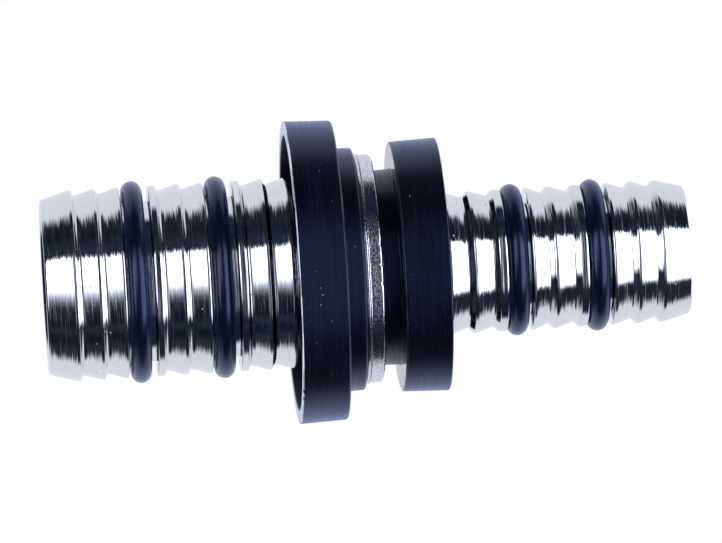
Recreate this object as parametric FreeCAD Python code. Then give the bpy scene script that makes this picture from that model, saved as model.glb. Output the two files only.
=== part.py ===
import FreeCAD, Part
import math
import os

# Press reducing coupling for two sizes of multilayer pipe, in millimetres.
# The large end stands on Z = 0 and the waterway runs along +Z to the small end.
# Heights on a spigot and its stop ring are measured from that spigot's own open end.

os.makedirs("parts", exist_ok=True)

# Large spigot, for pipe of 20 mm inside
LARGE_CREST_D = 19.6
LARGE_TIP_DROP = 0.85
LARGE_BARB_HEIGHT = 0.5
LARGE_FIRST_BARB = 3.2
LARGE_BARB_PITCH = 2.48
LARGE_BARB_LAND = 0.3
LARGE_BARB_BACK = 0.3
LARGE_ROOT_LAND = 0.3
LARGE_LIP_LAND = 0.7
LARGE_STAGE_PITCH = 8.6
LARGE_STAGE_BARB = 6.1
LARGE_LAST_BARB = 8.6

# Small spigot, for pipe of 15 mm inside
SMALL_CREST_D = 14.62
SMALL_TIP_DROP = 0.72
SMALL_BARB_HEIGHT = 0.53
SMALL_FIRST_BARB = 3.05
SMALL_BARB_PITCH = 2.52
SMALL_BARB_LAND = 0.3
SMALL_BARB_BACK = 0.5
SMALL_ROOT_LAND = 0.15
SMALL_LIP_LAND = 0.85
SMALL_STAGE_PITCH = 8.3
SMALL_STAGE_BARB = 6.0
SMALL_LAST_BARB = 8.6

# Barbs before the first groove, and stages of one groove, its lip and one barb
LEAD_BARBS = 3
STAGES = 2

# Seal rings and their grooves
SEAL_SECTION = 2.1
SEAL_FLOOR_CLEARANCE = 0.03
LARGE_SEAL_PROUD = 0.6
LARGE_GROOVE_PLAY = 0.85
LARGE_SEAL_GAP = 0.25
SMALL_SEAL_PROUD = 0.52
SMALL_GROOVE_PLAY = 0.45
SMALL_SEAL_GAP = 0.4

# Waterway and open ends
LARGE_GROOVE_WALL = 1.07
SMALL_GROOVE_WALL = 1.0
BORE_STEP_FROM_FLANGE = 1.3
BORE_CONE_DEG = 59.0
BORE_MOUTH = 0.5
TIP_EDGE = 0.15

# Flange: a turned land towards the large end and a raw forged rim
FLANGE_HEIGHT = 1.77
FLANGE_LAND = 0.4
FLANGE_RIM = 1.5
FLANGE_RIM_DROP = 0.14
FLANGE_EDGE = 0.15

# Seats of the stop rings beside the flange, each with a snap bead
SEAT_STEP = 0.3
SEAT_CHAMFER = 0.25
SEAT_CLEARANCE = 0.05
SNAP_BEAD_HEIGHT = 0.25
SNAP_BEAD_WIDTH = 0.9
SNAP_BEAD_PLACE = 1.3

# Stop rings: a cup open towards the pipe and a hub against the flange
LARGE_CUP_D = 28.3
LARGE_CUP_DEPTH = 2.95
LARGE_FLOOR_RUN = 3.04
LARGE_RING_WIDTH = 4.9
LARGE_HUB_WALL = 2.4
LARGE_HUB_LENGTH = 1.95
SMALL_CUP_D = 23.2
SMALL_CUP_DEPTH = 2.85
SMALL_FLOOR_RUN = 3.16
SMALL_RING_WIDTH = 4.8
SMALL_HUB_WALL = 2.44
SMALL_HUB_LENGTH = 2.0
CUP_WALL = 1.45
DRAFT_DEG = 2.0
MOUTH_EDGE = 0.08
RING_BACK_EDGE = 0.14
HUB_EDGE = 0.12
CUP_FLOOR_EDGE = 0.4

AXIS = FreeCAD.Vector(0, 0, 1)
ORIGIN = FreeCAD.Vector(0, 0, 0)
DRAFT = math.tan(math.radians(DRAFT_DEG))

LARGE = {
    "crest_r": LARGE_CREST_D / 2, "tip_drop": LARGE_TIP_DROP, "barb_height": LARGE_BARB_HEIGHT,
    "first_barb": LARGE_FIRST_BARB, "barb_pitch": LARGE_BARB_PITCH, "land": LARGE_BARB_LAND,
    "back": LARGE_BARB_BACK, "root_land": LARGE_ROOT_LAND, "lip_land": LARGE_LIP_LAND,
    "stage_pitch": LARGE_STAGE_PITCH, "stage_barb": LARGE_STAGE_BARB, "last_barb": LARGE_LAST_BARB,
    "seal_proud": LARGE_SEAL_PROUD, "groove_play": LARGE_GROOVE_PLAY, "seal_gap": LARGE_SEAL_GAP,
    "groove_wall": LARGE_GROOVE_WALL, "cup_r": LARGE_CUP_D / 2, "cup_depth": LARGE_CUP_DEPTH,
    "floor_run": LARGE_FLOOR_RUN, "ring_width": LARGE_RING_WIDTH, "hub_wall": LARGE_HUB_WALL,
    "hub_length": LARGE_HUB_LENGTH,
}
SMALL = {
    "crest_r": SMALL_CREST_D / 2, "tip_drop": SMALL_TIP_DROP, "barb_height": SMALL_BARB_HEIGHT,
    "first_barb": SMALL_FIRST_BARB, "barb_pitch": SMALL_BARB_PITCH, "land": SMALL_BARB_LAND,
    "back": SMALL_BARB_BACK, "root_land": SMALL_ROOT_LAND, "lip_land": SMALL_LIP_LAND,
    "stage_pitch": SMALL_STAGE_PITCH, "stage_barb": SMALL_STAGE_BARB, "last_barb": SMALL_LAST_BARB,
    "seal_proud": SMALL_SEAL_PROUD, "groove_play": SMALL_GROOVE_PLAY, "seal_gap": SMALL_SEAL_GAP,
    "groove_wall": SMALL_GROOVE_WALL, "cup_r": SMALL_CUP_D / 2, "cup_depth": SMALL_CUP_DEPTH,
    "floor_run": SMALL_FLOOR_RUN, "ring_width": SMALL_RING_WIDTH, "hub_wall": SMALL_HUB_WALL,
    "hub_length": SMALL_HUB_LENGTH,
}


def groove_starts(side):
    """Height of each seal groove, which opens straight behind a barb's crest."""
    first = side["first_barb"] + (LEAD_BARBS - 1) * side["barb_pitch"]
    return [first + i * side["stage_pitch"] for i in range(STAGES)]


def last_barb(side):
    """Height of the crest of the barb in the mouth of the stop ring."""
    return groove_starts(side)[-1] + side["last_barb"]


def cup_floor(side):
    """Height of the cup floor that the cut end of the pipe meets."""
    return last_barb(side) + side["floor_run"]


def ring_mouth(side):
    return cup_floor(side) - side["cup_depth"]


def ring_back(side):
    return ring_mouth(side) + side["ring_width"]


def flange_face(side):
    """Height of the flange face that the hub stands against."""
    return ring_back(side) + side["hub_length"]


def floor_radius(side):
    """Radius of a seal groove's floor."""
    return side["crest_r"] + side["seal_proud"] - SEAL_SECTION - SEAL_FLOOR_CLEARANCE


def bore_radius(side):
    return floor_radius(side) - side["groove_wall"]


def seat_radius(side):
    """Radius of the ring's seat, which the ring reaches over the barbs."""
    return side["crest_r"] + SEAT_STEP


def corner(r, z, edge=0.0):
    """One corner of a profile: its radius, its height and the size of its broken edge."""
    return (r, z, edge)


def profile(corners):
    """Closed wire in the XZ plane through the corners, with each stated edge broken."""
    places = [FreeCAD.Vector(r, 0, z) for r, z, _ in corners]
    points = []
    for i, here in enumerate(places):
        edge = corners[i][2]
        if edge == 0.0:
            points.append(here)
            continue
        before = (places[i - 1] - here).normalize()
        after = (places[(i + 1) % len(places)] - here).normalize()
        points += [here + before * edge, here + after * edge]
    return Part.makePolygon(points + points[:1])


def turned(corners):
    """The solid swept by a closed profile turned once round the axis."""
    return Part.Face(profile(corners)).revolve(ORIGIN, AXIS, 360)


def barb(side, last):
    """A barb whose crest ends at the height last, with the root behind it."""
    root_r = side["crest_r"] - side["barb_height"]
    return [
        corner(side["crest_r"], last - side["land"]),
        corner(side["crest_r"], last),
        corner(root_r, last + side["back"]),
        corner(root_r, last + side["back"] + side["root_land"]),
    ]


def stage(side, groove):
    """A barb's crest, the seal groove behind it, its lip, and the next barb."""
    floor_r = floor_radius(side)
    groove_end = groove + SEAL_SECTION + side["groove_play"]
    wall = [
        corner(side["crest_r"], groove - side["land"]),
        corner(side["crest_r"], groove),
        corner(floor_r, groove),
        corner(floor_r, groove_end),
    ]
    lip = barb(side, groove_end + side["lip_land"])
    lip[0] = corner(side["crest_r"], groove_end)
    return wall + lip + barb(side, groove + side["stage_barb"])


def spigot(side):
    """Outside of a spigot from its open end to the back of its last barb."""
    tip_r = side["crest_r"] - side["tip_drop"]
    corners = [corner(tip_r, 0, TIP_EDGE)]
    for i in range(LEAD_BARBS - 1):
        corners += barb(side, side["first_barb"] + i * side["barb_pitch"])
    for groove in groove_starts(side):
        corners += stage(side, groove)
    return corners + barb(side, last_barb(side))[:-1]


def seat(side):
    """Seat of a stop ring, from the root behind the last barb up to the flange face."""
    seat_r = seat_radius(side)
    bead = flange_face(side) - SNAP_BEAD_PLACE
    return [
        corner(side["crest_r"] - side["barb_height"], cup_floor(side)),
        corner(seat_r, cup_floor(side), SEAT_CHAMFER),
        corner(seat_r, bead - SNAP_BEAD_WIDTH / 2),
        corner(seat_r + SNAP_BEAD_HEIGHT, bead),
        corner(seat_r, bead + SNAP_BEAD_WIDTH / 2),
        corner(seat_r, flange_face(side)),
    ]


def mirrored(corners):
    """The same corners measured down from the small end, in the order that goes on upwards."""
    return [corner(r, overall_length() - z, edge) for r, z, edge in reversed(corners)]


def overall_length():
    return flange_face(LARGE) + FLANGE_LAND + FLANGE_RIM + flange_face(SMALL)


def coupling_body():
    """Turned brass body: large spigot, flange, small spigot and the stepped waterway."""
    bottom = flange_face(LARGE)
    land_r = seat_radius(LARGE) + FLANGE_HEIGHT
    rim_r = land_r - FLANGE_RIM_DROP
    flange = [
        corner(land_r, bottom, FLANGE_EDGE),
        corner(land_r, bottom + FLANGE_LAND),
        corner(rim_r, bottom + FLANGE_LAND + FLANGE_RIM_DROP),
        corner(rim_r, bottom + FLANGE_LAND + FLANGE_RIM, FLANGE_EDGE),
    ]
    large_r, small_r = bore_radius(LARGE), bore_radius(SMALL)
    step = bottom - BORE_STEP_FROM_FLANGE
    cone_run = (large_r - small_r) / math.tan(math.radians(BORE_CONE_DEG))
    waterway = [
        corner(small_r + BORE_MOUTH, overall_length()),
        corner(small_r, overall_length() - BORE_MOUTH),
        corner(small_r, step + cone_run),
        corner(large_r, step),
        corner(large_r, BORE_MOUTH),
        corner(large_r + BORE_MOUTH, 0),
    ]
    large_side = spigot(LARGE) + seat(LARGE)
    small_side = mirrored(spigot(SMALL) + seat(SMALL))
    return turned(large_side + flange + small_side + waterway)


def stop_ring(side):
    """Moulded stop ring: drafted cup, web and hub, with the groove that snaps on the bead."""
    bore_r = seat_radius(side) + SEAT_CLEARANCE
    ring_r = side["cup_r"] + CUP_WALL
    hub_r = bore_r + side["hub_wall"]
    bead = flange_face(side) - SNAP_BEAD_PLACE
    return turned([
        corner(bore_r, cup_floor(side)),
        corner(side["cup_r"] - side["cup_depth"] * DRAFT, cup_floor(side), CUP_FLOOR_EDGE),
        corner(side["cup_r"], ring_mouth(side), MOUTH_EDGE),
        corner(ring_r, ring_mouth(side), MOUTH_EDGE),
        corner(ring_r - side["ring_width"] * DRAFT, ring_back(side), RING_BACK_EDGE),
        corner(hub_r, ring_back(side), HUB_EDGE),
        corner(hub_r - side["hub_length"] * DRAFT, flange_face(side), HUB_EDGE),
        corner(bore_r, flange_face(side)),
        corner(bore_r, bead + SNAP_BEAD_WIDTH / 2),
        corner(bore_r + SNAP_BEAD_HEIGHT, bead),
        corner(bore_r, bead - SNAP_BEAD_WIDTH / 2),
    ])


def o_ring(side, groove):
    """Seal ring on the floor of the groove that starts at this height."""
    middle = groove + side["seal_gap"] + SEAL_SECTION / 2
    centre_r = side["crest_r"] + side["seal_proud"] - SEAL_SECTION / 2
    centre = FreeCAD.Vector(centre_r, 0, middle)
    section = Part.makeCircle(SEAL_SECTION / 2, centre, FreeCAD.Vector(0, 1, 0))
    return Part.Face(Part.Wire(section)).revolve(ORIGIN, AXIS, 360)


def from_small_end(shape):
    """Turns a piece of the small spigot end for end, so that its open end is at the top."""
    turned_over = shape.copy()
    turned_over.rotate(ORIGIN, FreeCAD.Vector(1, 0, 0), 180)
    turned_over.translate(FreeCAD.Vector(0, 0, overall_length()))
    return turned_over


def save(name, shape):
    """Writes one piece, which has to be one sound solid."""
    if len(shape.Solids) != 1 or not shape.isValid():
        raise ValueError(name + " is not one sound solid")
    shape.Solids[0].exportStep("parts/" + name + ".step")
    print(name, "volume", round(shape.Volume, 1), "mm3")


save("coupling_body", coupling_body())
save("large_stop_ring", stop_ring(LARGE))
save("small_stop_ring", from_small_end(stop_ring(SMALL)))
for number, start in enumerate(groove_starts(LARGE), 1):
    save(f"large_o_ring_{number}", o_ring(LARGE, start))
for number, start in enumerate(groove_starts(SMALL), 1):
    save(f"small_o_ring_{number}", from_small_end(o_ring(SMALL, start)))
print("overall length", round(overall_length(), 2), "mm")
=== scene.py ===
import math
from collections import namedtuple

import bpy
from mathutils import Matrix, Vector, noise


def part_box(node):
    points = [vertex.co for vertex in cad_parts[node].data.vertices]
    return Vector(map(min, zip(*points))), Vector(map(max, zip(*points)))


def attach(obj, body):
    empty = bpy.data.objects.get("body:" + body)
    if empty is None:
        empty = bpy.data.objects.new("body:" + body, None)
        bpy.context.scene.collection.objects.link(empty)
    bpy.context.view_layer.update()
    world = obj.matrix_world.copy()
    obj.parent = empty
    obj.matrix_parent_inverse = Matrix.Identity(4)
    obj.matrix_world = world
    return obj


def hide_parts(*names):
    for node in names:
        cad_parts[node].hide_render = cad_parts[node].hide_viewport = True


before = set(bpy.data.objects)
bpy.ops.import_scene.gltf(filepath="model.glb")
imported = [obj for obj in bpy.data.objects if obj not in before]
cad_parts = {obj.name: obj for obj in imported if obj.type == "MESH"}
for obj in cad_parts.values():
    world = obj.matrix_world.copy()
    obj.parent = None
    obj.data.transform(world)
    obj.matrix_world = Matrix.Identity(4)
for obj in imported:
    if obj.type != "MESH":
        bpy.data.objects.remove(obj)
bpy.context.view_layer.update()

# Dresses the coupling: a plated body with a raw forged rim, two plastic stop rings and four seal rings.
# Lengths are in millimetres and angles in degrees where a name ends in MM or DEG, and the meshes are built
# in metres. An azimuth is measured round +Z from the side that the camera sees, towards +X. Two numbers
# together are where a change begins and ends, or a value at its beginning and end, unless said otherwise.
MM = 0.001

# Camera: where it stands, what it looks at, its focal length and its turn about the line of sight
CAMERA_PLACE_MM = (0.0, -696.2, -13.39)
CAMERA_AIM_MM = (0.289, 0.0, 32.67)
CAMERA_FOCAL_MM = 337.6
CAMERA_FILM_MM = 36.0
CAMERA_ROLL_DEG = -3.414
CAMERA_REACH_M = 20.0

# Studio: a white room, with a soft box above the camera and one below it, and a dark gap round and between
# them. The camera lies on its side, so as the picture is turned, they stand to the right and left of it. Left
# and right in these names mean negative and positive azimuth. A slant is in degrees per degree of height.
SOFT_BOX_LEFT_DEG = (-39.6, -34.6)
SOFT_BOX_LEFT_SLANT = 0.04
SOFT_BOX_RIGHT_DEG = (38.0, 58.0)
SOFT_BOX_RIGHT_SLANT = 0.15
SOFT_BOX_FADE_DEG = (-17.0, 38.0)
SOFT_BOX_FADE_BELOW_DEG = (-24.0, -4.0)
SOFT_BOX_FADE_ABOVE_DEG = (-50.0, -40.0)
SOFT_BOX_INNER_DEG = (4.0, 37.0)
SOFT_BOX_OUTER_DEG = (62.0, 76.0)
SOFT_BOX_LIGHT = (4.5, 4.7, 5.7)
GAP_DARK = (0.0075, 0.0105, 0.025)
GAP_LIGHTER = (0.023, 0.028, 0.051)
GAP_CLOUD_SCALE = 4.0
GAP_CLOUD_SPAN = (0.4, 0.62)
BACKGROUND_LIGHT = (1.0, 1.0, 1.0)
ROOM_LIGHT = (0.82, 0.84, 0.94)
ROOM_LEFT_DEG = (86.0, 99.0)
ROOM_RIGHT_DEG = (96.0, 109.0)
ROOM_SLANT = 0.45
ROOM_SLANT_FROM_DEG = 12.0
ROOM_SLANT_TO_DEG = 28.0
ROOM_LOW_END_DEG = (-48.0, -34.0)
CEILING_DEG = (34.0, 48.0)
CEILING_LIGHT = (1.25, 1.3, 1.45)
FLOOR_RADIUS_MM = 900.0
FLOOR_SIDES = 96
FLOOR_FADE_MM = (90.0, 420.0)
FLOOR_DROP_MM = 0.02
FLOOR_COLOUR = (0.86, 0.86, 0.87)

# Meshes: points round the axis, how far from a corner its rounding begins, and how corners are told apart
BODY_SEGMENTS = 240
RING_SEGMENTS = 960
SEAL_SEGMENTS = 320
SEAL_POINTS = 48
EDGE_ROUND_MM = 0.06
CHAMFER_ROUND_MM = 0.1
ROOT_ROUND_MM = 0.15
GROOVE_EDGE_ROUND_MM = 0.2
ROUND_SHARE = 0.45
SHORT_STEP_MM = 0.25
SHORT_STEP_SHARE = 0.25
ROUND_STEPS = 4
GROOVE_WALL_MM = 0.8
GROOVE_WALL_SLOPE = 0.05
STRAIGHT_TURN_DEG = 3.0
GROOVE_EDGE_TURN_DEG = 46.0
CHAMFER_TURN_DEG = (42.0, 50.0)
SAME_POINT_MM = 0.003

# The flange's raw rim, which starts above a narrow turned land. Its grain is made of layers, each finer
# than the last by the step, and weaker by the fall.
FLANGE_LAND_MM = 0.15
RIM_DENSITY = 4
RIM_ROW_MM = 0.1
RIM_TOP_SLACK_MM = 0.02
RIM_GRAIN_MM = 0.3
RIM_GRAIN_DEPTH_MM = 0.014
RIM_GRAIN_FALL = 0.8
RIM_GRAIN_STEP = 2.1
RIM_GRAIN_LAYERS = 4
RIM_WAVE_MM = 1.4
RIM_WAVE_DEPTH_MM = 0.05
RIM_DEPTH_MM = 0.6
RIM_WORN_EDGE_MM = 0.2

# Seal rings
SEAL_RIDGE_MM = 0.012
SEAL_RIDGE_WIDTH_MM = 0.10

# One row of points round the axis: its radius and height, its outward direction in the same plane, how
# worn it is (on the stop rings also where an edge highlight is painted), how many points it has, and whether
# it lies on the flange's raw rim
Row = namedtuple("Row", "place lean wear count forged")

# One knock in an edge: where it is, how wide and how deep. A ring's first one is on the edge of its mouth.
Nick = namedtuple("Nick", "azimuth_deg radius_mm height_mm width_mm depth_mm")
LARGE_RING_NICKS = (
    Nick(51.0, 15.55, 25.45, 0.32, 0.22),
    Nick(55.5, 15.55, 25.45, 0.22, 0.10),
    Nick(86.0, 15.60, 25.45, 0.35, 0.10),
    Nick(-88.0, 15.60, 25.45, 0.30, 0.12),
    Nick(-70.0, 15.45, 30.35, 0.25, 0.08),
)
SMALL_RING_NICKS = (
    Nick(-78.0, 13.05, 41.0, 0.25, 0.08),
    Nick(-60.0, 12.85, 36.2, 0.20, 0.06),
)
FLANGE_NICKS = (
    Nick(-1.5, 11.75, 34.2, 0.22, 0.16),
    Nick(8.0, 11.75, 34.2, 0.30, 0.07),
    Nick(-12.0, 11.75, 34.2, 0.30, 0.06),
)
NICK_ROWS_MM = (0.08, 0.16, 0.28, 0.44, 0.7)
NICK_ROWS_SHARE = 0.4
NICK_EDGE_MM = 0.16

# Wear on the edges of the stop rings, which draws them pale: partly wear, partly a painted highlight
MOUTH_EDGE_MM = 0.09
MOUTH_WEAR_AND_HIGHLIGHT = 1.0
RING_BACK_WEAR_AND_HIGHLIGHT = 0.3

# Materials. Most values of a noise lie within its span. A mark of turning has two sizes, its length round
# the axis and its width along it, and a lean, which is the slope of its flank.
NOISE_SPAN = (0.3, 0.7)
NOISE_MIDDLE = 0.5
QUARTER_TURN = 0.25
SHEEN_TINT = (0.14, 0.30, 1.0)

NICKEL_TONES = ((0.73, 0.75, 0.75), (0.79, 0.80, 0.805))
NICKEL_MOTTLE_MM = 0.5
NICKEL_ROUGHNESS = (0.05, 0.12)
NICKEL_ANISOTROPY = 0.5
FINE_MARK_MM = (8.0, 0.05)
FINE_MARK_DEPTH_MM = 0.0012
BROAD_MARK_MM = (14.0, 0.3)
BROAD_MARK_DEPTH_MM = 0.002
SCORED_MARK_MM = (9.0, 0.07)
SCORED_MARK_SPAN = (0.55, 0.72)
SCORED_MARK_ROUGHNESS = (0.0, 0.36)
MARK_ALONG_MM = (10.0, 0.055)
MARK_LEAN_ALONG = 0.55
MARK_AROUND_MM = (6.0, 0.05)
MARK_LEAN_AROUND = 0.19
PIT_TONE = (0.12, 0.12, 0.16)
PIT_DEPTH_MM = 0.04

FORGED_TONES = ((0.56, 0.57, 0.61), (0.96, 0.97, 0.98))
FORGED_LUMP_MM = 0.5
FORGED_LUMP_DEPTH_MM = 0.009
FORGED_GRAIN_MM = 0.16
FORGED_GRAIN_SPAN = (0.50, 0.62)
FORGED_GRAIN_DEPTH_MM = 0.0026
FORGED_ROUGHNESS = (0.09, 0.18)
# Painted shade: faces of the rim that lean upwards are darkened to this tone, which is not a colour of the
# forging
FORGED_TOP_PAINTED_SHADE = (0.10, 0.10, 0.12)
FORGED_TOP_SHADE_LEAN = (0.25, 0.6)
FORGED_WORN_TONE = (0.92, 0.92, 0.92)
FORGED_WORN_SPAN = (0.40, 0.46)

PLASTIC_TONES = ((0.0005, 0.0006, 0.0014), (0.0012, 0.0014, 0.0034))
PLASTIC_CLOUD_MM = 4.0
PLASTIC_CLOUD_SPAN = (0.35, 0.65)
PLASTIC_GRAIN_MM = 0.1
PLASTIC_GRAIN_DEPTH_MM = 0.0008
PLASTIC_MARK_MM = (9.0, 0.09)
PLASTIC_MARK_DEPTH_MM = 0.008
PLASTIC_MARK_TONE = (0.005, 0.006, 0.014)
PLASTIC_MARK_SPAN = (0.56, 0.72)
PLASTIC_MARK_STRENGTH = 0.7
# The pale worn edge lines of the stop rings are partly wear and partly a painted highlight
PLASTIC_WORN_HIGHLIGHT_TONE = (0.85, 0.88, 0.96)
PLASTIC_WORN_HIGHLIGHT_SPAN = (0.2, 1.0)
PLASTIC_WORN_HIGHLIGHT_STRENGTH = 0.95
PLASTIC_PATCH_SPAN = (0.40, 0.56)
PLASTIC_PATCH_STRENGTH = (0.35, 1.0)
DUST_TONE = (0.20, 0.21, 0.27)
DUST_CLOUD_SPAN = (0.48, 0.60)
PLASTIC_ROUGHNESS = (0.25, 0.37)
PLASTIC_FLAT_LEAN = (0.85, 0.98)
PLASTIC_FLAT_SMOOTHER = 0.8
PLASTIC_IOR = 1.47
PLASTIC_SPECULAR_TINT = (0.36, 0.47, 1.0)
PLASTIC_SHEEN = 0.32
PLASTIC_SHEEN_ROUGHNESS = 0.34

RUBBER_TONES = ((0.0010, 0.0013, 0.0030), (0.0018, 0.0024, 0.0060))
RUBBER_CLOUD_MM = 1.5
RUBBER_GRAIN_MM = 0.08
RUBBER_GRAIN_DEPTH_MM = 0.001
RUBBER_ROUGHNESS = (0.20, 0.27)
RUBBER_IOR = 1.44
RUBBER_SPECULAR_TINT = (0.44, 0.56, 1.0)
RUBBER_SHEEN = 0.25
RUBBER_SHEEN_ROUGHNESS = 0.42


def metres(values):
    return Vector(values) * MM


def direction_of(azimuth):
    """Unit vector across the axis at an azimuth in radians."""
    return Vector((math.sin(azimuth), -math.cos(azimuth), 0.0))


class Graph:
    """Short calls for the nodes of one shader."""

    def __init__(self, tree):
        self.tree = tree
        tree.nodes.clear()

    def node(self, kind, inputs=(), **settings):
        made = self.tree.nodes.new(kind)
        for name, value in settings.items():
            setattr(made, name, value)
        for key, value in dict(inputs).items():
            self.feed(made.inputs[key], value)
        return made

    def feed(self, socket, value):
        if isinstance(value, bpy.types.NodeSocket):
            self.tree.links.new(value, socket)
        elif value is not None:
            socket.default_value = value

    def math(self, operation, first, second=None):
        return self.node("ShaderNodeMath", {0: first, 1: second}, operation=operation).outputs[0]

    def vector(self, operation, first, second=None):
        made = self.node("ShaderNodeVectorMath", {0: first}, operation=operation)
        if operation == "SCALE":
            self.feed(made.inputs["Scale"], second)
        else:
            self.feed(made.inputs[1], second)
        return made.outputs[0]

    def step(self, value, start, end, low=0.0, high=1.0):
        """Smooth step of a value from low at start to high at end."""
        made = self.node(
            "ShaderNodeMapRange",
            {"Value": value, "From Min": start, "From Max": end, "To Min": low, "To Max": high},
            interpolation_type="SMOOTHSTEP",
        )
        return made.outputs[0]

    def noise(self, place, scale=1.0, detail=2.0, roughness=0.5):
        made = self.node(
            "ShaderNodeTexNoise",
            {"Vector": place, "Scale": scale, "Detail": detail, "Roughness": roughness},
        )
        return made.outputs["Fac"]

    def colour(self, factor, first, second):
        """Mix of two colours, each of which is a socket or three numbers."""
        made = self.node("ShaderNodeMix", data_type="RGBA")
        self.feed(made.inputs[0], factor)
        self.feed(made.inputs[6], first if isinstance(first, bpy.types.NodeSocket) else (*first, 1.0))
        self.feed(made.inputs[7], second if isinstance(second, bpy.types.NodeSocket) else (*second, 1.0))
        return made.outputs[2]

    def place(self):
        return self.node("ShaderNodeTexCoord").outputs["Object"]

    def normal(self):
        return self.node("ShaderNodeNewGeometry").outputs["Normal"]

    def lean(self):
        """How far the surface faces along the axis, from -1 straight down to 1 straight up."""
        return self.node("ShaderNodeSeparateXYZ", {0: self.normal()}).outputs[2]

    def wear(self):
        """How worn the surface is, as its mesh says. On the stop rings it also marks where a highlight is
        painted.
        """
        return self.node("ShaderNodeAttribute", attribute_name="wear").outputs["Fac"]

    def lumps(self, size_mm, detail=2.0, roughness=0.5):
        """Noise with lumps of one size all over the surface."""
        return self.noise(self.place(), 1 / (size_mm * MM), detail, roughness)

    def streaks(self, round_mm, along_mm, detail=2.0, roughness=0.5):
        """Noise drawn out round the axis, as the marks of turning are."""
        share = (1 / (round_mm * MM), 1 / (round_mm * MM), 1 / (along_mm * MM))
        return self.noise(self.vector("MULTIPLY", self.place(), share), 1.0, detail, roughness)

    def relief(self, first, first_mm, second, second_mm):
        """Height of two noises together, in metres, where each has a depth of its own."""
        first_height = self.math("MULTIPLY", first, first_mm * MM)
        return self.math("ADD", first_height, self.math("MULTIPLY", second, second_mm * MM))

    def bump(self, height, normal=None):
        """Normal of a surface that stands out by a height in metres."""
        inputs = {"Strength": 1.0, "Distance": 1.0, "Height": height, "Normal": normal}
        return self.node("ShaderNodeBump", inputs).outputs[0]

    def specks(self, size_mm, spacing_mm, share):
        """Small round spots at random, in some of the cells of one spot each."""
        cells = self.node(
            "ShaderNodeTexVoronoi", {"Vector": self.place(), "Scale": 1 / (spacing_mm * MM)}, feature="F1"
        )
        chance = self.node("ShaderNodeSeparateColor", {0: cells.outputs["Color"]}).outputs[0]
        size = size_mm / spacing_mm
        near = self.step(cells.outputs["Distance"], size / 2, size, 1.0, 0.0)
        return self.math("MULTIPLY", near, self.math("LESS_THAN", chance, share))

    def principled(self, **inputs):
        named = {key.replace("_", " "): value for key, value in inputs.items()}
        return self.node("ShaderNodeBsdfPrincipled", named).outputs[0]

    def finish(self, shader, kind="ShaderNodeOutputMaterial"):
        self.tree.links.new(shader, self.node(kind).inputs["Surface"])


def make_camera():
    """The photograph's camera, which lies on its side with the axis running across its picture."""
    place = metres(CAMERA_PLACE_MM)
    away = (metres(CAMERA_AIM_MM) - place).normalized()
    level = (Vector((0, 0, 1)) - away * away.z).normalized()
    upright = level.cross(away)
    turn = math.radians(CAMERA_ROLL_DEG)
    right = level * math.cos(turn) + upright * math.sin(turn)
    up = upright * math.cos(turn) - level * math.sin(turn)
    data = bpy.data.cameras.new("camera")
    data.lens = CAMERA_FOCAL_MM
    data.sensor_width = CAMERA_FILM_MM
    data.sensor_fit = "HORIZONTAL"
    data.clip_end = CAMERA_REACH_M
    camera = bpy.data.objects.new("camera", data)
    bpy.context.scene.collection.objects.link(camera)
    camera.matrix_world = Matrix.Translation(place) @ Matrix((right, up, -away)).transposed().to_4x4()
    bpy.context.scene.camera = camera


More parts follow.
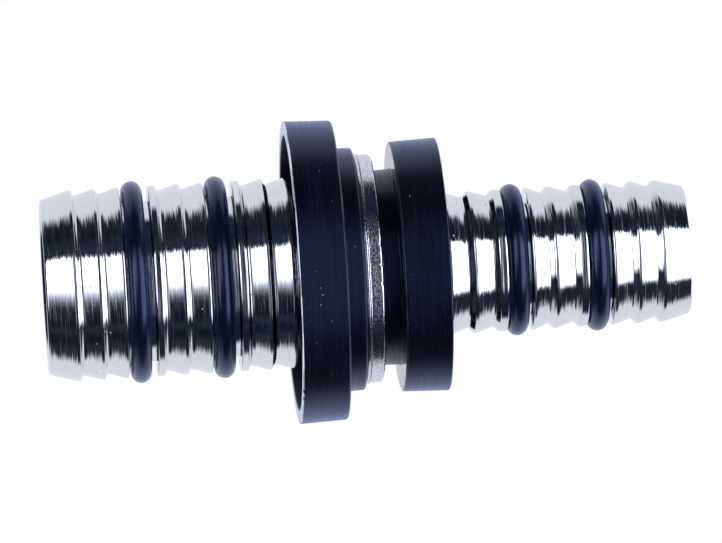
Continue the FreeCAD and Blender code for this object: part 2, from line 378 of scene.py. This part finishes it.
def make_world():
    """The room as the metal sees it. The camera sees plain white behind the object."""
    world = bpy.data.worlds.new("studio")
    bpy.context.scene.world = world
    world.use_nodes = True
    g = Graph(world.node_tree)
    direction = g.node("ShaderNodeTexCoord").outputs["Generated"]
    x, y, z = g.node("ShaderNodeSeparateXYZ", {0: direction}).outputs
    azimuth = g.math("DEGREES", g.math("ARCTAN2", x, g.math("MULTIPLY", y, -1.0)))
    height = g.math("DEGREES", g.math("ARCSINE", z))
    off_level = g.math("ABSOLUTE", height)
    left_side = g.math("ADD", azimuth, g.math("MULTIPLY", height, SOFT_BOX_LEFT_SLANT))
    right_side = g.math("SUBTRACT", azimuth, g.math("MULTIPLY", height, SOFT_BOX_RIGHT_SLANT))
    # The boxes end crisply on the right, but the lower one's inner part fades out on the way there
    crisp = g.step(right_side, *SOFT_BOX_RIGHT_DEG, 1.0, 0.0)
    fade = g.step(azimuth, *SOFT_BOX_FADE_DEG, 1.0, 0.0)
    below = g.step(height, *SOFT_BOX_FADE_BELOW_DEG, 1.0, 0.0)
    low = g.math("MULTIPLY", below, g.step(height, *SOFT_BOX_FADE_ABOVE_DEG))
    change = g.math("MULTIPLY", low, g.math("SUBTRACT", g.math("MULTIPLY", fade, fade), crisp))
    box = g.math("MULTIPLY", g.step(left_side, *SOFT_BOX_LEFT_DEG), g.math("ADD", crisp, change))
    box = g.math("MULTIPLY", box, g.step(off_level, *SOFT_BOX_INNER_DEG))
    box = g.math("MULTIPLY", box, g.step(off_level, *SOFT_BOX_OUTER_DEG, 1.0, 0.0))
    slant = g.math("SUBTRACT", g.math("MAXIMUM", off_level, ROOM_SLANT_FROM_DEG), ROOM_SLANT_TO_DEG)
    slant = g.math("MULTIPLY", slant, ROOM_SLANT)
    right = g.step(g.math("ADD", azimuth, slant), *ROOM_RIGHT_DEG)
    left = g.step(g.math("SUBTRACT", slant, azimuth), *ROOM_LEFT_DEG)
    cloud = g.noise(direction, GAP_CLOUD_SCALE)
    lit = g.colour(g.step(cloud, *GAP_CLOUD_SPAN), GAP_DARK, GAP_LIGHTER)
    room = g.colour(g.step(height, *CEILING_DEG), ROOM_LIGHT, CEILING_LIGHT)
    around = g.math("MULTIPLY", g.math("MAXIMUM", left, right), g.step(height, *ROOM_LOW_END_DEG))
    lit = g.colour(around, lit, room)
    lit = g.colour(box, lit, SOFT_BOX_LIGHT)
    seen = g.node("ShaderNodeBackground", {"Color": (*BACKGROUND_LIGHT, 1.0)})
    felt = g.node("ShaderNodeBackground", {"Color": lit})
    camera_ray = g.node("ShaderNodeLightPath").outputs["Is Camera Ray"]
    both = g.node("ShaderNodeMixShader", {0: camera_ray, 1: felt.outputs[0], 2: seen.outputs[0]})
    g.finish(both.outputs[0], "ShaderNodeOutputWorld")


def new_material(name):
    """A new material and the graph of its nodes."""
    material = bpy.data.materials.new(name)
    material.use_nodes = True
    return material, Graph(material.node_tree)


def floor_material():
    """Pale floor that keeps the shadow and fades to white further out.

    It isn't there from below, where the camera is, nor in reflections, which show the room instead.
    """
    material, g = new_material("floor")
    path = g.node("ShaderNodeLightPath").outputs
    away = g.node("ShaderNodeVectorMath", {0: g.place()}, operation="LENGTH").outputs["Value"]
    faded = g.math("MULTIPLY", path["Is Camera Ray"], g.step(away, *[edge * MM for edge in FLOOR_FADE_MM]))
    matt = g.node("ShaderNodeBsdfDiffuse", {"Color": (*FLOOR_COLOUR, 1.0)})
    white = g.node("ShaderNodeEmission", {"Color": (*BACKGROUND_LIGHT, 1.0)})
    top = g.node("ShaderNodeMixShader", {0: faded, 1: matt.outputs[0], 2: white.outputs[0]})
    below = g.node("ShaderNodeNewGeometry").outputs["Backfacing"]
    unseen = g.math("MAXIMUM", below, g.math("MAXIMUM", path["Is Glossy Ray"], path["Is Transmission Ray"]))
    clear = g.node("ShaderNodeBsdfTransparent")
    g.finish(g.node("ShaderNodeMixShader", {0: unseen, 1: top.outputs[0], 2: clear.outputs[0]}).outputs[0])
    return material


def make_floor():
    radius = FLOOR_RADIUS_MM * MM
    points = [direction_of(2 * math.pi * i / FLOOR_SIDES) * radius for i in range(FLOOR_SIDES)]
    mesh = bpy.data.meshes.new("floor")
    mesh.from_pydata(points, [], [list(range(FLOOR_SIDES))])
    mesh.materials.append(floor_material())
    floor = bpy.data.objects.new("floor", mesh)
    floor.location.z = -FLOOR_DROP_MM * MM
    bpy.context.scene.collection.objects.link(floor)


def section_of(node):
    """Outline of a turned node as (radius, height) corners in order, found from its mesh."""
    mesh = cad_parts[node].data
    corners = []
    cells = {}

    def corner_at(place):
        here = Vector((math.hypot(place.x, place.y), place.z))
        cell = (round(here.x / (SAME_POINT_MM * MM)), round(here.y / (SAME_POINT_MM * MM)))
        for i in (-1, 0, 1):
            for j in (-1, 0, 1):
                for known in cells.get((cell[0] + i, cell[1] + j), ()):
                    if (corners[known] - here).length < SAME_POINT_MM * MM:
                        return known
        corners.append(here)
        cells.setdefault(cell, []).append(len(corners) - 1)
        return len(corners) - 1

    index = [corner_at(vertex.co) for vertex in mesh.vertices]
    beside = [set() for _ in corners]
    for edge in mesh.edges:
        first, second = (index[v] for v in edge.vertices)
        if first != second:
            beside[first].add(second)
            beside[second].add(first)
    if any(len(pair) != 2 for pair in beside):
        raise ValueError(node + " isn't a plain turned shape")
    walk = [0, min(beside[0])]
    while True:
        following = (beside[walk[-1]] - {walk[-2]}).pop()
        if following == walk[0]:
            break
        walk.append(following)
    return [corners[i] for i in walk]


def turn_between(before, after):
    """Angle from one step of an outline to the next, in degrees, positive to the left."""
    return math.degrees(math.atan2(before.x * after.y - before.y * after.x, before.dot(after)))


def counter_clockwise(corners):
    area = sum(a.x * b.y - b.x * a.y for a, b in zip(corners, corners[1:] + corners[:1]))
    return corners if area > 0 else corners[::-1]


def outward(step):
    """Outward direction of a counter-clockwise outline along one step."""
    return Vector((step.y, -step.x)).normalized()


def is_groove_wall(step):
    """Whether a step of an outline is a high wall square to the axis, as a seal groove has."""
    return step.length > GROOVE_WALL_MM * MM and abs(step.y) < GROOVE_WALL_SLOPE * abs(step.x)


def rounded(corners, count):
    """Rows of a turned mesh with each corner of its outline rounded, the seal grooves' edges most."""
    rows = []
    for i, here in enumerate(corners):
        before = here - corners[i - 1]
        after = corners[(i + 1) % len(corners)] - here
        turn = turn_between(before, after)
        if abs(turn) < STRAIGHT_TURN_DEG:
            continue
        reach = EDGE_ROUND_MM
        if turn < 0:
            reach = ROOT_ROUND_MM
        elif turn > GROOVE_EDGE_TURN_DEG and (is_groove_wall(before) or is_groove_wall(after)):
            reach = GROOVE_EDGE_ROUND_MM
        elif CHAMFER_TURN_DEG[0] < turn < CHAMFER_TURN_DEG[1]:
            reach = CHAMFER_ROUND_MM
        shortest = min(before.length, after.length)
        share = SHORT_STEP_SHARE if shortest < SHORT_STEP_MM * MM else ROUND_SHARE
        reach = min(reach * MM, shortest * share)
        start = here - before.normalized() * reach
        end = here + after.normalized() * reach
        for k in range(ROUND_STEPS + 1):
            t = k / ROUND_STEPS
            place = start * (1 - t) ** 2 + here * 2 * t * (1 - t) + end * t ** 2
            lean = outward(before.normalized() * (1 - t) + after.normalized() * t)
            # The middle of each outward corner's rounding is marked worn; the stop rings paint it pale,
            # partly wear and partly a painted highlight
            worn_and_highlighted = 1.0 if turn > 0 and 0 < k < ROUND_STEPS else 0.0
            rows.append(Row(place, lean, worn_and_highlighted, count, False))
    return rows


def with_forged_rim(rows):
    """The same rows, with those of the raw rim close together and dense enough to carry its grain."""
    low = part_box("large_stop_ring")[1].z + (FLANGE_LAND_MM + EDGE_ROUND_MM / 2) * MM
    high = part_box("small_stop_ring")[0].z + RIM_TOP_SLACK_MM * MM
    outer = max(row.place.x for row in rows) - RIM_DEPTH_MM * MM
    rim = [low < row.place.y < high and row.place.x > outer for row in rows]
    result = []
    for i, row in enumerate(rows):
        if not rim[i]:
            result.append(row)
            continue
        worn_and_highlighted = 1.0 if row.place.y > high - RIM_WORN_EDGE_MM * MM else 0.0
        result.append(row._replace(count=row.count * RIM_DENSITY, forged=True, wear=worn_and_highlighted))
        if rim[i + 1]:
            step = rows[i + 1].place - row.place
            parts = math.ceil(step.length / (RIM_ROW_MM * MM))
            for k in range(1, parts):
                result.append(result[-1]._replace(place=row.place + step * k / parts))
    return result


def with_nick_rows(rows, nicks):
    """The same rows, with more of them close to the edges that have nicks."""
    edges = {(nick.radius_mm, nick.height_mm) for nick in nicks}
    result = []
    for i, row in enumerate(rows):
        result.append(row)
        step = rows[(i + 1) % len(rows)].place - row.place
        longest = NICK_ROWS_SHARE * step.length
        near = [MM * reach / step.length for reach in NICK_ROWS_MM if MM * reach < longest]
        ends = [
            any((metres(edge) - end).length < NICK_EDGE_MM * MM for edge in edges)
            for end in (row.place, row.place + step)
        ]
        shares = (near if ends[0] else []) + ([1 - share for share in reversed(near)] if ends[1] else [])
        result += [row._replace(place=row.place + step * share, wear=0.0) for share in shares]
    return result


def grain_at(place):
    """How far the forging's skin stands out or in at a point of the rim, in metres."""
    grain = noise.fractal(place / (RIM_GRAIN_MM * MM), RIM_GRAIN_FALL, RIM_GRAIN_STEP, RIM_GRAIN_LAYERS)
    wave = noise.noise(place / (RIM_WAVE_MM * MM))
    return (grain * RIM_GRAIN_DEPTH_MM + wave * RIM_WAVE_DEPTH_MM) * MM


def nick_depth(place, nicks):
    """How far the nicks push in the surface at a point, in metres."""
    depth = 0.0
    for nick in nicks:
        middle = direction_of(math.radians(nick.azimuth_deg)) * nick.radius_mm
        middle.z = nick.height_mm
        away = (place / MM - middle).length / nick.width_mm
        if away < 1.0:
            depth = max(depth, nick.depth_mm * (1 - away * away) * MM)
    return depth


def turned_piece(name, rows, nicks=()):
    """Mesh of closed rows turned once round the axis, with its raw rim as forged and its nicks."""
    points = []
    leans = []
    starts = []
    wear = []
    for row in rows:
        starts.append(len(points))
        for i in range(row.count):
            out = direction_of(2 * math.pi * i / row.count)
            place = out * row.place.x + Vector((0, 0, row.place.y))
            lean = out * row.lean.x + Vector((0, 0, row.lean.y))
            depth = nick_depth(place, nicks)
            if row.forged:
                place += lean * grain_at(place)
            # A zero normal leaves the point's own to the mesh, as its faces lie
            leans.append(Vector() if depth else lean)
            points.append(place - out * depth)
            wear.append(0.0 if depth else row.wear)
    faces = []
    forged = []
    for i, row in enumerate(rows):
        j = (i + 1) % len(rows)
        made = strip(starts[i], row.count, starts[j], rows[j].count)
        faces += made
        forged += [int(row.forged and rows[j].forged)] * len(made)
    mesh = bpy.data.meshes.new(name)
    mesh.from_pydata(points, [], faces)
    mesh.shade_smooth()
    mesh.polygons.foreach_set("material_index", forged)
    mesh.attributes.new("wear", "FLOAT", "POINT").data.foreach_set("value", wear)
    mesh.normals_split_custom_set_from_vertices(leans)
    piece = bpy.data.objects.new(name, mesh)
    bpy.context.scene.collection.objects.link(piece)
    return piece


def strip(start, count, other, other_count):
    """Faces between two rows of points, one of which may be some times denser than the other."""
    faces = []
    coarse = min(count, other_count)
    for i in range(coarse):
        lower = run(start, count, coarse, i)
        upper = run(other, other_count, coarse, i)
        faces.append(lower + upper[::-1])
    return faces


def run(start, count, coarse, i):
    """Points of one row that lie along the i-th of its coarse steps."""
    share = count // coarse
    return [start + (i * share + k) % count for k in range(share + 1)]


def dress(piece, node, materials):
    """Gives a piece its materials and lets it stand for its node."""
    for material in materials:
        piece.data.materials.append(material)
    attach(piece, "root")
    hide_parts(node)


def nickel_material():
    """Bright nickel on turned brass, with the tool's marks round it, some scored dull, and a few pits."""
    material, g = new_material("nickel")
    fine = g.streaks(*FINE_MARK_MM, roughness=0.6)
    scored = g.streaks(*SCORED_MARK_MM, roughness=0.6)
    broad = g.streaks(*BROAD_MARK_MM)
    mottle = g.lumps(NICKEL_MOTTLE_MM, detail=3.0, roughness=0.65)
    pits = g.specks(size_mm=0.11, spacing_mm=1.5, share=0.35)
    # Each mark leans a little along the axis and less round it, which makes a reflection's ends ragged
    along = g.math("SUBTRACT", g.streaks(*MARK_ALONG_MM, roughness=0.6), NOISE_MIDDLE)
    around = g.streaks(*MARK_AROUND_MM, detail=3.0, roughness=0.65)
    around = g.math("SUBTRACT", around, NOISE_MIDDLE)
    tangent = g.node("ShaderNodeTangent", direction_type="RADIAL", axis="Z").outputs[0]
    axis = g.node("ShaderNodeCombineXYZ", {2: g.math("MULTIPLY", along, MARK_LEAN_ALONG)}).outputs[0]
    plain = g.vector("ADD", g.normal(), axis)
    leaning = g.vector("ADD", plain, g.vector("SCALE", tangent, g.math("MULTIPLY", around, MARK_LEAN_AROUND)))
    height = g.relief(fine, FINE_MARK_DEPTH_MM, broad, BROAD_MARK_DEPTH_MM)
    height = g.math("SUBTRACT", height, g.math("MULTIPLY", pits, PIT_DEPTH_MM * MM))
    tone = g.colour(g.step(mottle, *NOISE_SPAN), *NICKEL_TONES)
    tone = g.colour(pits, tone, PIT_TONE)
    rough = g.step(fine, *NOISE_SPAN, *NICKEL_ROUGHNESS)
    rough = g.math("MAXIMUM", rough, g.step(scored, *SCORED_MARK_SPAN, *SCORED_MARK_ROUGHNESS))
    shader = g.principled(
        Base_Color=tone,
        Metallic=1.0,
        Roughness=rough,
        Normal=g.bump(height, g.vector("NORMALIZE", leaning)),
        Anisotropic=NICKEL_ANISOTROPY,
        Anisotropic_Rotation=QUARTER_TURN,
        Tangent=tangent,
    )
    g.finish(shader)
    return material


def forged_material():
    """The flange's raw rim: nickel over the grain of the forging, with a painted shade on its faces that lean
    upwards.
    """
    material, g = new_material("forged_nickel")
    coarse = g.lumps(FORGED_LUMP_MM, detail=3.0, roughness=0.6)
    grain = g.step(g.lumps(FORGED_GRAIN_MM, detail=3.0, roughness=0.65), *FORGED_GRAIN_SPAN)
    tone = g.colour(grain, *FORGED_TONES)
    # Painted shade: the rim's faces that lean upwards are darkened, whatever the light
    tone = g.colour(g.step(g.lean(), *FORGED_TOP_SHADE_LEAN), tone, FORGED_TOP_PAINTED_SHADE)
    worn_and_highlighted = g.math("MULTIPLY", g.wear(), g.step(coarse, *FORGED_WORN_SPAN))
    tone = g.colour(worn_and_highlighted, tone, FORGED_WORN_TONE)
    shader = g.principled(
        Base_Color=tone,
        Metallic=1.0,
        Roughness=g.step(coarse, *NOISE_SPAN, *FORGED_ROUGHNESS),
        Normal=g.bump(g.relief(coarse, FORGED_LUMP_DEPTH_MM, grain, FORGED_GRAIN_DEPTH_MM)),
    )
    g.finish(shader)
    return material


def plastic_material():
    """Blue-black moulded plastic with a satin skin, faint tool marks, dust, and pale edges that are partly
    wear and partly a painted highlight.
    """
    material, g = new_material("ring_plastic")
    marks = g.streaks(*PLASTIC_MARK_MM, detail=3.0, roughness=0.7)
    cloud = g.lumps(PLASTIC_CLOUD_MM, detail=3.0, roughness=0.6)
    grain = g.lumps(PLASTIC_GRAIN_MM, roughness=0.6)
    dust = g.specks(size_mm=0.09, spacing_mm=0.8, share=0.5)
    dust = g.math("MULTIPLY", dust, g.step(cloud, *DUST_CLOUD_SPAN))
    tone = g.colour(g.step(cloud, *PLASTIC_CLOUD_SPAN), *PLASTIC_TONES)
    marked = g.step(marks, *PLASTIC_MARK_SPAN, 0.0, PLASTIC_MARK_STRENGTH)
    tone = g.colour(marked, tone, PLASTIC_MARK_TONE)
    # Edges that the mesh marks worn are painted near white: partly wear, partly a painted highlight
    worn_and_highlighted = g.step(g.wear(), *PLASTIC_WORN_HIGHLIGHT_SPAN, 0.0, PLASTIC_WORN_HIGHLIGHT_STRENGTH)
    worn_and_highlighted = g.math("MULTIPLY", worn_and_highlighted, g.step(cloud, *PLASTIC_PATCH_SPAN, *PLASTIC_PATCH_STRENGTH))
    tone = g.colour(worn_and_highlighted, tone, PLASTIC_WORN_HIGHLIGHT_TONE)
    tone = g.colour(dust, tone, DUST_TONE)
    # The faces square to the axis are smoother than the rest and have no sheen
    flat = g.step(g.math("ABSOLUTE", g.lean()), *PLASTIC_FLAT_LEAN)
    rough = g.step(marks, *NOISE_SPAN, *PLASTIC_ROUGHNESS)
    smoother = g.math("SUBTRACT", 1.0, g.math("MULTIPLY", flat, PLASTIC_FLAT_SMOOTHER))
    shader = g.principled(
        Base_Color=tone,
        Roughness=g.math("MULTIPLY", rough, smoother),
        Normal=g.bump(g.relief(marks, PLASTIC_MARK_DEPTH_MM, grain, PLASTIC_GRAIN_DEPTH_MM)),
        IOR=PLASTIC_IOR,
        Specular_Tint=(*PLASTIC_SPECULAR_TINT, 1.0),
        Sheen_Weight=g.math("SUBTRACT", PLASTIC_SHEEN, g.math("MULTIPLY", flat, PLASTIC_SHEEN)),
        Sheen_Roughness=PLASTIC_SHEEN_ROUGHNESS,
        Sheen_Tint=(*SHEEN_TINT, 1.0),
    )
    g.finish(shader)
    return material


def rubber_material():
    """Blue-black seal rubber, smooth and a little oily."""
    material, g = new_material("seal_rubber")
    cloud = g.lumps(RUBBER_CLOUD_MM, detail=3.0, roughness=0.6)
    grain = g.lumps(RUBBER_GRAIN_MM, roughness=0.6)
    shader = g.principled(
        Base_Color=g.colour(cloud, *RUBBER_TONES),
        Roughness=g.step(cloud, *NOISE_SPAN, *RUBBER_ROUGHNESS),
        Normal=g.bump(g.math("MULTIPLY", grain, RUBBER_GRAIN_DEPTH_MM * MM)),
        IOR=RUBBER_IOR,
        Specular_Tint=(*RUBBER_SPECULAR_TINT, 1.0),
        Sheen_Weight=RUBBER_SHEEN,
        Sheen_Roughness=RUBBER_SHEEN_ROUGHNESS,
        Sheen_Tint=(*SHEEN_TINT, 1.0),
    )
    g.finish(shader)
    return material


def make_body():
    """The turned and plated body, with its forged rim in fine grain."""
    rows = rounded(counter_clockwise(section_of("coupling_body")), BODY_SEGMENTS)
    piece = turned_piece("body", with_forged_rim(rows), FLANGE_NICKS)
    dress(piece, "coupling_body", [nickel_material(), forged_material()])


def make_stop_ring(name, node, material, nicks, mouth_wear_and_highlight):
    """A stop ring with edges drawn pale, partly worn and partly a painted highlight, of which the outer one
    of its mouth has a value of its own.
    """
    rows = rounded(counter_clockwise(section_of(node)), RING_SEGMENTS)
    mouth = nicks[0].height_mm * MM
    widest = max(row.place.x for row in rows)
    for i, row in enumerate(rows):
        at_mouth = abs(row.place.y - mouth) < MOUTH_EDGE_MM * MM and row.place.x > widest - MOUTH_EDGE_MM * MM
        rows[i] = row._replace(wear=mouth_wear_and_highlight if at_mouth else row.wear * RING_BACK_WEAR_AND_HIGHLIGHT)
    dress(turned_piece(name, with_nick_rows(rows, nicks), nicks), node, [material])


def make_seal(name, node, material):
    """A seal ring of round section, with the fine ridge that its mould leaves round the outside."""
    low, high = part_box(node)
    section = (high.z - low.z) / 2
    middle = Vector((high.x - section, (high.z + low.z) / 2))
    rows = []
    for i in range(SEAL_POINTS):
        angle = 2 * math.pi * i / SEAL_POINTS
        across = section * math.sin(angle)
        ridge = math.exp(-((across / (SEAL_RIDGE_WIDTH_MM * MM)) ** 2)) if math.cos(angle) > 0 else 0.0
        reach = section - SEAL_RIDGE_MM * MM * (1 - ridge)
        place = middle + Vector((math.cos(angle), math.sin(angle))) * reach
        rows.append(Row(place, Vector((0.0, 0.0)), 0.0, SEAL_SEGMENTS, False))
    dress(turned_piece(name, rows), node, [material])


def main():
    bpy.context.scene.view_settings.view_transform = "Standard"
    make_camera()
    make_world()
    make_floor()
    make_body()
    plastic = plastic_material()
    make_stop_ring("large_ring", "large_stop_ring", plastic, LARGE_RING_NICKS, MOUTH_WEAR_AND_HIGHLIGHT)
    make_stop_ring("small_ring", "small_stop_ring", plastic, SMALL_RING_NICKS, RING_BACK_WEAR_AND_HIGHLIGHT)
    rubber = rubber_material()
    for side in ("large", "small"):
        for number in (1, 2):
            make_seal(f"{side}_seal_{number}", f"{side}_o_ring_{number}", rubber)


main()
